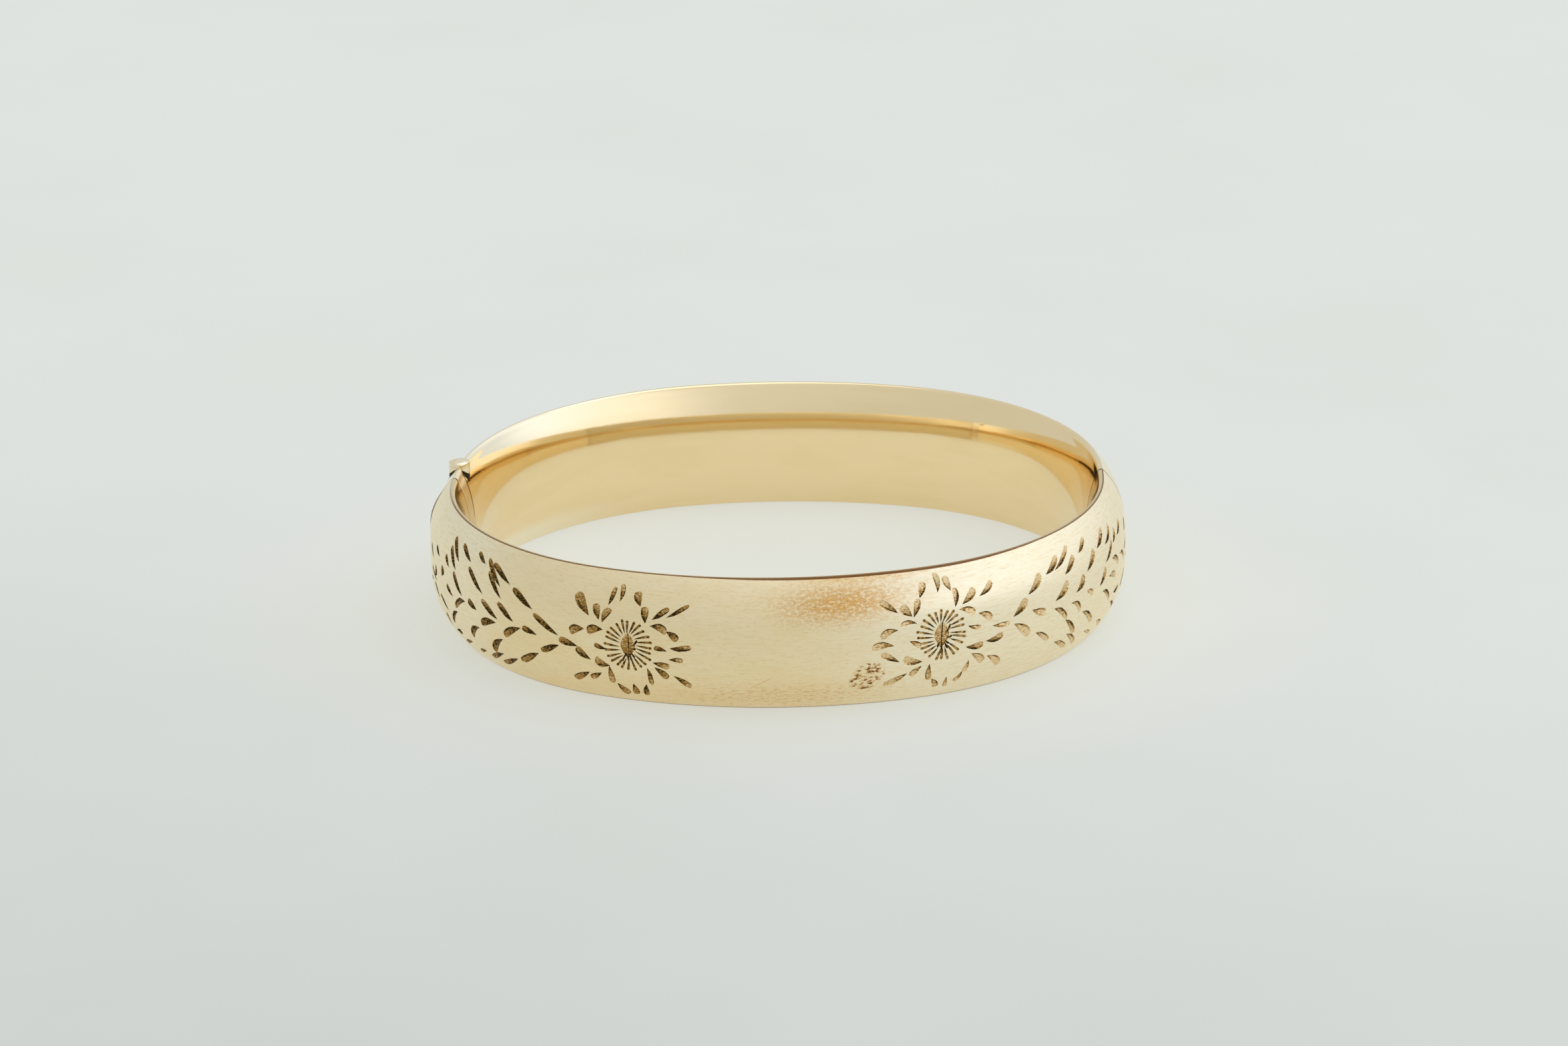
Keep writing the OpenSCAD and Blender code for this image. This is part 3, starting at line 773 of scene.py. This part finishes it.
def tarnish_and_shade(g, band, fine):
    """Dark lines of the engraved sheet: its tarnished crest, and painted shade at its cap seam, in a
    patch beside it and, faintly, at its clasp seam.
    """
    s, z = g.axis(band, 0), g.axis(band, 1)
    rub = g.math("ADD", g.times(fine, 0.06), g.times(g.spot(band, *WORN_CREST), 0.13))
    crest = g.span(g.math("ADD", z, rub), BAND_H - 0.06, BAND_H)
    crest = g.times(crest, g.span(s, CAP_S + 0.5, CAP_S + 9, 0.1, 1))
    # Painted shade: a dark patch beside the cap's seam.
    dark = g.math("MAXIMUM", crest, g.spot(band, *CAP_SHADE))
    # Painted shade: dark lines at the cap seam and, fainter, at the clasp seam, where the gaps between
    # the parts are.
    dark = g.math("MAXIMUM", dark, g.seam(s, (CAP_S,)))
    return g.math("MAXIMUM", dark, g.times(g.seam(s, (FRONT.half,)), 0.35))


def satin_front():
    """Satin gold of the engraved sheet, with its tarnished crest, pits and scratches, painted light on
    its right and far left, and painted shade at its seams.
    """
    g = Graph("engraved_gold")
    band = g.band()
    s, z = g.axis(band, 0), g.axis(band, 1)
    cloud = g.noise(band, (0.12, 0.35, 0), 4)
    lines = g.noise(band, (0.5, 7, 0), 4, 0.7)
    speck = g.noise(band, (1.6, 6, 0), 6, 0.75)
    fine = g.noise(band, (7, 14, 0), 2)
    colour = g.mix(g.span(cloud, 0.35, 0.7, 0, 0.5), PALE_GOLD, WARM_GOLD)
    # Painted light: the sheet is painted paler cream over its right half and at its far left, standing in
    # for the brighter light falling there.
    pale = g.math("MAXIMUM", g.span(s, 3, 15), g.span(s, -22, -32))
    colour = g.mix(g.times(pale, 0.85), colour, CREAM)
    colour = g.mix(g.span(lines, 0.45, 0.68, 0, 0.4), colour, RUBBED)
    colour = g.mix(g.span(speck, 0.52, 0.66, 0, 0.28), colour, RUST)
    colour = rust(g, band, speck, colour)
    colour, pits = pitting(g, band, colour)
    scratch = g.spot(band, *SCRATCH)
    colour = g.mix(g.times(scratch, 0.6), colour, RUST)
    foot = g.span(g.math("SUBTRACT", z, g.times(fine, 0.06)), 0.0, 0.10, 1, 0)
    colour = g.mix(g.times(foot, 0.6), colour, BROWN)
    # The tarnished crest, and painted shade at the seams and beside the cap.
    dark = tarnish_and_shade(g, band, fine)
    colour = g.mix(g.times(dark, 0.95), colour, BROWN)
    shine = g.math("SUBTRACT", 1.0, g.times(g.math("MAXIMUM", dark, pits), 0.9))
    metal(g, colour, g.span(cloud, 0.3, 0.7, 0.40, 0.46), shine)
    g.shader.inputs["Anisotropic"].default_value = 0.3
    marks = g.math("SUBTRACT", g.times(lines, 0.6), pits)
    marks = g.math("SUBTRACT", marks, scratch)
    g.link(g.height(marks, 0.01, 0.4), "Normal")
    return g.material


def cut_floor():
    """Inside the cuts: scratched gold under brown and black patina, with painted shade darkening the
    steeper walls.
    """
    g = Graph("engraved_cut")
    band, patina_and_shade = g.band(), g.patina_and_shade()
    scratches = g.noise(band, (4, 7, 0), 4, 0.7)
    amount = g.math("ADD", patina_and_shade, g.span(scratches, 0.35, 0.65, -0.35, 0.35))
    colour = g.mix(g.span(amount, 0.05, 0.55), CUT_PALE, CUT_BROWN)
    colour = g.mix(g.span(amount, 0.65, 1.0), colour, DEEP)
    metal(g, colour, 0.42, g.span(amount, 0.4, 0.9, 1.0, 0.2))
    g.link(g.height(scratches, 0.03, 0.7), "Normal")
    return g.material


def satin_back():
    """Plain finely polished gold of the back half, paler towards its ends, with painted shade at its end
    faces.
    """
    g = Graph("satin_gold")
    band = g.band()
    cloud = g.noise(band, (0.12, 0.35, 0), 4)
    lines = g.noise(band, (0.25, 14, 0), 3)
    s = g.axis(band, 0)
    colour = g.mix(g.span(cloud, 0.4, 0.65, 0, 0.6), PALE_GOLD, WARM_GOLD)
    pale = g.span(g.math("ABSOLUTE", s), BACK.half - 22, BACK.half, 0, 0.75)
    colour = g.mix(pale, colour, CREAM)
    # Painted shade: dark brown lines at both end faces, where the gaps between the halves are.
    dark = g.seam(s, (-BACK.half, BACK.half))
    colour = g.mix(dark, colour, BROWN)
    metal(g, colour, g.span(cloud, 0.3, 0.7, 0.22, 0.3), g.span(dark, 0, 1, 1, 0.2))
    g.link(g.height(lines, 0.005, 0.35), "Normal")
    return g.material


def polished(name, gold, rough, stained, ends, pale_from):
    """Polished gold: a lip painted pale as a highlight, a joint that is tarnished but near its first end,
    and painted shade at its ends.
    """
    g = Graph(name)
    band = g.band()
    s, offset = g.axis(band, 0), g.axis(band, 2)
    cloud = g.noise(band, (0.1, 0.4, 0.4), 4)
    fine = g.noise(band, (3, 9, 9), 3)
    warm = (gold[0] * 0.98, gold[1] * 0.965, gold[2] * 0.93, 1)
    colour = g.mix(g.span(cloud, 0.4, 0.7), gold, warm)
    # Painted highlight: the lip turns pale cream from pale_from on along the rim.
    lip = g.times(g.span(offset, -1.3, -0.9), g.span(s, *pale_from, 0, 0.9))
    colour = g.mix(lip, colour, CREAM)
    corner = g.span(g.math("ADD", offset, g.times(fine, 0.05)), -0.10, -0.05)
    corner = g.times(corner, g.span(s, ends[0] + 0.5, ends[0] + 9, stained * 0.15, stained))
    # Painted shade: dark lines at the ends, where the gaps between the parts are.
    dark = g.math("MAXIMUM", corner, g.seam(s, ends))
    colour = g.mix(dark, colour, BROWN)
    rough = g.span(cloud, 0.3, 0.7, rough * 0.75, rough * 1.25)
    metal(g, colour, rough, g.span(dark, 0, 1, 1, 0.2))
    g.link(g.height(cloud, 0.02, 0.3), "Normal")
    return g.material


def small_metal(name, colour, rough, grain):
    """Gold of a small part, mottled and faintly scratched."""
    g = Graph(name)
    mm = g.object_mm()
    cloud = g.noise(mm, (0.9, 0.9, 0.9), 4)
    fine = g.noise(mm, grain, 3)
    dull = tuple(c * 0.8 for c in colour[:3]) + (1,)
    colour = g.mix(g.span(cloud, 0.4, 0.7), colour, dull)
    metal(g, colour, g.span(fine, 0.3, 0.7, rough * 0.8, rough * 1.3))
    g.link(g.height(fine, 0.006, 0.4), "Normal")
    return g.material


def hinge_gold():
    """Pale gold of the pin's head, with a ring line and painted shade down in the gap below it."""
    g = Graph("hinge_gold")
    mm = g.object_mm()
    x, z = g.axis(mm, 0), g.axis(mm, 2)
    fine = g.noise(mm, (2, 2, 9), 3)
    aside = g.math("ABSOLUTE", g.math("SUBTRACT", x, HINGE_X))
    line = g.math("SUBTRACT", BAND_H - 0.05, g.times(g.math("POWER", aside, 1.4), 0.75))
    below = g.math("SUBTRACT", g.math("ADD", line, g.times(fine, 0.1)), z)
    # Painted shade: dark below a line near the band's top, fading out further down, in the gap beside the
    # cap.
    gap_shade = g.times(g.span(below, -0.02, 0.08), g.span(z, BAND_H - 2.4, BAND_H - 1.6))
    colour = g.mix(g.span(fine, 0.4, 0.7), PIN_PALE, PIN_WARM)
    colour = g.mix(gap_shade, colour, DEEP)
    metal(g, colour, g.span(fine, 0.3, 0.7, 0.10, 0.16), g.span(gap_shade, 0, 1, 1, 0.1))
    g.link(g.height(fine, 0.006, 0.4), "Normal")
    return g.material


# ---- Studio ----

SKY_LEFT, SKY_RIGHT = (0.66, 0.695, 0.70), (0.79, 0.83, 0.88)
SKY_SIDE = (0.85, -0.1, 0.5)  # direction in which the surround is brightest
# Soft bright areas of the surround: direction, half width in degrees, added brightness.
SKY_GLOWS = [((0.55, 0.40, 0.74), 47, 0.21), ((0.90, -0.40, 0.16), 58, 0.34)]
GLOW_TINT = (1.0, 1.04, 1.2)
FLOOR_GLOW = 0.52        # share of the floor's light that is painted glow of its own, which lightens its shadows
FLOOR_DARK, FLOOR_PALE = (0.19, 0.20, 0.19, 1), (0.21, 0.22, 0.21, 1)
GLOW_WARM, GLOW_COOL = (0.97, 1, 0.93, 1), (0.98, 1, 0.95, 1)
# Painted bounce light: the floor close to the bangle glows warm as if lit by the gold: its colour, and
# where this fades out in mm.
BOUNCE_GLOW, BOUNCE_REACH = (1.09, 1.08, 0.95, 1), (22, 62)
# The floor's painted glow grows along this direction, from the first to the second distance in mm, so it
# is darker towards the front left.
GLOW_ALONG, GLOW_FROM, GLOW_TO = (0.35, 0.94, 0), -190, 60


def studio():
    """A pale floor with a painted glow of its own, warmer near the bangle, the surround and one wide lamp
    above.
    """
    g = Graph("studio_floor")
    mm = g.object_mm()
    grain = g.noise(mm, (0.02, 0.02, 0.02), 3)
    g.link(g.mix(g.span(grain, 0.3, 0.7), FLOOR_DARK, FLOOR_PALE), "Base Color")
    glow = g.mix(g.span(grain, 0.3, 0.7), GLOW_WARM, GLOW_COOL)
    oval = g.stretch(mm, (1, 1.2, 0))
    reach = g.node("ShaderNodeVectorMath", {0: oval}, operation="LENGTH", out=1)
    # Painted bounce light: a warm pool on the floor round the bangle.
    glow = g.mix(g.span(reach, *BOUNCE_REACH, 1, 0), glow, BOUNCE_GLOW)
    g.link(glow, "Emission Color")
    # Painted light: the glow grows towards the back right.
    along = g.node("ShaderNodeVectorMath", {0: mm, 1: GLOW_ALONG}, out=1, operation="DOT_PRODUCT")
    strength = g.span(along, GLOW_FROM, GLOW_TO, FLOOR_GLOW * 0.76, FLOOR_GLOW * 1.02)
    g.link(strength, "Emission Strength")
    g.shader.inputs["Roughness"].default_value = 0.8
    below = (0, 0, -0.02 * MM)
    bpy.ops.mesh.primitive_grid_add(x_subdivisions=8, y_subdivisions=8, size=6, location=below)
    floor = bpy.context.object
    floor.name = "studio_floor"
    floor.data.materials.append(g.material)
    sky()
    lamp("top", (0.15, 0.1, 0.8), (0, 0, 0), (0.7, 0.7), 1.0)


def sky():
    """A plain soft surround: brighter and cooler on the right, with two soft bright areas."""
    world = bpy.data.worlds.new("studio")
    bpy.context.scene.world = world
    world.use_nodes = True
    nodes, links = world.node_tree.nodes, world.node_tree.links
    toward = nodes.new("ShaderNodeTexCoord").outputs["Generated"]

    def lobe(direction, low, low_value, high_value):
        """A colour that changes from one value to another towards a direction."""
        dot = nodes.new("ShaderNodeVectorMath")
        dot.operation = "DOT_PRODUCT"
        dot.inputs[1].default_value = Vector(direction).normalized()
        links.new(toward, dot.inputs[0])
        blend = nodes.new("ShaderNodeMapRange")
        blend.data_type, blend.interpolation_type = "FLOAT_VECTOR", "SMOOTHSTEP"
        links.new(dot.outputs["Value"], blend.inputs[6])
        for socket, value in zip(blend.inputs[7:11], ((low,) * 3, (1.0,) * 3, low_value, high_value)):
            socket.default_value = value
        return blend.outputs[1]

    light = lobe(SKY_SIDE, -0.5, SKY_LEFT, SKY_RIGHT)
    for direction, half, value in SKY_GLOWS:
        bright = [value * c for c in GLOW_TINT]
        glow = lobe(direction, math.cos(math.radians(half)), (0, 0, 0), bright)
        add = nodes.new("ShaderNodeVectorMath")
        links.new(light, add.inputs[0])
        links.new(glow, add.inputs[1])
        light = add.outputs["Vector"]
    links.new(light, nodes["Background"].inputs[0])
    nodes["Background"].inputs[1].default_value = 1.0


def lamp(name, place_m, aim, size, power):
    """A rectangular area lamp, in metres and watts, turned towards aim."""
    light = bpy.data.lights.new(name, "AREA")
    light.shape = "RECTANGLE"
    light.size, light.size_y, light.energy = size[0], size[1], power
    obj = bpy.data.objects.new(name, light)
    obj.location = place_m
    obj.rotation_mode = "QUATERNION"
    obj.rotation_quaternion = (Vector(aim) - Vector(place_m)).to_track_quat("-Z", "Y")
    bpy.context.scene.collection.objects.link(obj)


def camera():
    """The photograph's viewpoint: 20 degrees up, 4 degrees round, with a slight roll."""
    data = bpy.data.cameras.new("camera")
    data.lens, data.sensor_width = 134.1, 36
    data.clip_start, data.clip_end = 0.01, 20
    up, swing, roll = math.radians(20), math.radians(-4.05), math.radians(-1.33)
    distance, aside, above = 558.0, 0.62, 1.84  # of the camera from the band's middle, in mm
    ahead = Vector((0, math.cos(up), -math.sin(up)))
    over = Vector((0, math.sin(up), math.cos(up)))
    right = Vector((1, 0, 0))
    turn = Matrix.Rotation(-swing, 3, "Z")
    spot = turn @ (-ahead * distance + right * aside + over * above) + Vector((0, WAIST_Y, MID))
    axes = Matrix((turn @ right, turn @ over, turn @ -ahead)).transposed()
    obj = bpy.data.objects.new("camera", data)
    obj.matrix_world = Matrix.Translation(spot * MM) @ (axes @ Matrix.Rotation(roll, 3, "Z")).to_4x4()
    bpy.context.scene.collection.objects.link(obj)
    bpy.context.scene.camera = obj


# ---- The bangle ----

def paint(node, material):
    """Gives a CAD node its material."""
    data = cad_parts[node].data
    data.materials.clear()
    data.materials.append(material)


def lathe(name, profile, centre, material, body, turns=48):
    """A solid turned round a vertical axis from (radius, height) pairs that start and end on it."""
    circle = [2 * math.pi * i / turns for i in range(turns)]
    ring = [(math.cos(a), math.sin(a)) for a in circle]
    points = [(centre[0], centre[1], profile[0][1])]
    for radius, height in profile[1:-1]:
        points += [(centre[0] + radius * x, centre[1] + radius * y, height) for x, y in ring]
    points.append((centre[0], centre[1], profile[-1][1]))
    last = len(points) - 1
    faces = []
    for i in range(turns):
        j = (i + 1) % turns
        faces.append((0, 1 + j, 1 + i))
        for row in range(len(profile) - 3):
            low, high = 1 + row * turns, 1 + (row + 1) * turns
            faces.append((low + i, low + j, high + j, high + i))
        top = 1 + (len(profile) - 3) * turns
        faces.append((top + i, top + j, last))
    obj = new_object(name, points, faces, material, body)
    fix_normals(obj.data)
    return obj


def pin_profile():
    """Hinge pin: a foot, the shank, and a domed head with a fine ring cut into it."""
    low, shank, foot_r = PIN_FOOT, KNUCKLE_R * 0.45, KNUCKLE_R * 0.9
    rim = BAND_H + PIN_COLLAR
    profile = [(0, low), (foot_r - 0.04, low), (foot_r, low + 0.04), (foot_r, low + 0.31)]
    profile += [(shank, low + 0.34), (shank, BAND_H + SKIN_OFF), (0.97, BAND_H + SKIN_OFF)]
    profile += [(KNUCKLE_R, BAND_H + 0.04), (KNUCKLE_R, rim)]
    for radius in (0.98, 0.94, 0.88, PIN_RING + 0.04, PIN_RING, PIN_RING - 0.04, 0.6, 0.4, 0.2):
        sunk = PIN_RING_DEEP if radius == PIN_RING else 0
        profile.append((radius, rim + PIN_DOME * math.sqrt(1 - radius * radius) - sunk))
    return profile + [(0, rim + PIN_DOME)]


def front_shell(skin, cut):
    shell = engraved_shell("front_shell_engraved", skin, cut, "front_half")
    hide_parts("front_outer_shell")


def front_liner(gold):
    liner = sweep("front_liner_polished", FRONT, liner_outline(), CAP_S + CAP_JOINT, FRONT.half,
                  gold, "front_half")
    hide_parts("front_liner")


def hinge_cap(gold):
    cap = sweep("hinge_cap", FRONT, solid_outline(), -FRONT.half, CAP_S - CAP_JOINT, gold,
                "front_half", step=0.3, bevel=0.05)
    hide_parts("front_hinge_cap")


def back_shell(gold):
    outer = sweep("back_shell_satin", BACK, outer_outline(), -BACK.half, BACK.half, gold,
                  "back_half", relief=True)
    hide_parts("back_outer_shell")


def back_liner(gold):
    inner = sweep("back_liner_polished", BACK, liner_outline(), -BACK.half, BACK.half, gold,
                  "back_half", relief=True)
    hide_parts("back_liner")


def hinge_pin(gold):
    pin_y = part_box("upper_knuckle")[0].y / MM + KNUCKLE_R
    pin = lathe("hinge_pin_domed", pin_profile(), (HINGE_X, pin_y), gold, "back_half")
    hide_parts("hinge_pin")


def build():
    """All the detailed pieces, and the materials of the CAD nodes that stay."""
    skin, cut, satin = satin_front(), cut_floor(), satin_back()
    ends = (CAP_S, FRONT.half)
    gold_front = polished("polished_gold_front", POLISHED_DEEP, 0.14, 0.7, ends, NOT_PALE)
    gold_back = polished("polished_gold", POLISHED, 0.08, 0.25, (-BACK.half,), PALE_AT_HINGE)
    gold_cap = polished("cap_gold", POLISHED_DEEP, 0.24, 0, (CAP_S,), ALL_PALE)
    knuckle = hinge_gold()
    brass = small_metal("inner_brass", BRASS, 0.3, (6, 6, 2))
    spring = small_metal("spring_brass", SPRING, 0.25, (2, 12, 2))

    front_shell(skin, cut)
    front_liner(gold_front)
    hinge_cap(gold_cap)
    back_shell(satin)
    back_liner(gold_back)
    hinge_pin(knuckle)
    for node in ("middle_knuckle", "upper_knuckle", "lower_knuckle"):
        paint(node, knuckle)
    for node in ("front_clasp_plate", "clasp_box", "back_hinge_plug", "back_clasp_plate"):
        paint(node, brass)
    for node in ("tongue", "spring_leaf"):
        paint(node, spring)


bpy.context.scene.view_settings.view_transform = "Standard"
studio()
camera()
build()
